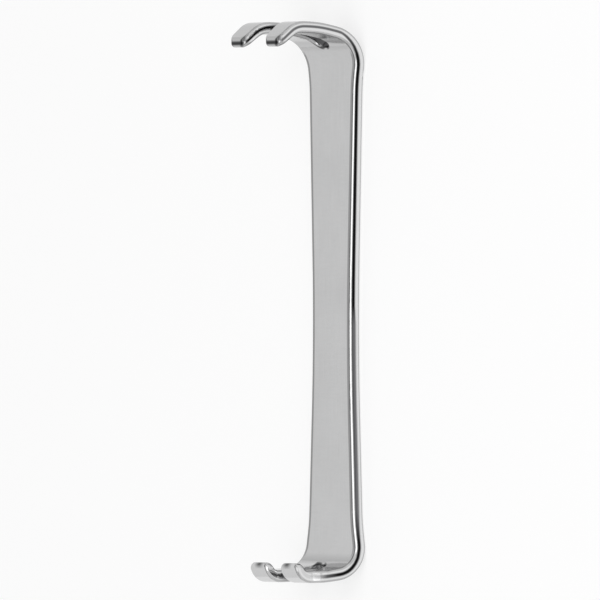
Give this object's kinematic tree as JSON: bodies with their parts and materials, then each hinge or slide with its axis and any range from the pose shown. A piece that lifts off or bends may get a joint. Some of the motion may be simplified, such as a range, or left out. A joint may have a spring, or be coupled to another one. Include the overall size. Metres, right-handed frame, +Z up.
{
  "type": "double-ended fork retractor",
  "caption": "Handheld retractor: a waisted steel strap bent into an arm at each end, each arm split into a blunt inward-curled fork.",
  "frame": {"origin": "on the surface it rests on, under the middle of the part's box, at the centre of the flat back", "axes": "+Y along the strap towards the longer arm, +Z up along the arms, +X across the strap"},
  "size_m": [0.0268, 0.15, 0.0279],
  "materials": {
    "steel": "polished stainless steel"
  },
  "bodies": {
    "root": {"retractor": "steel"}
  },
  "joints": []
}
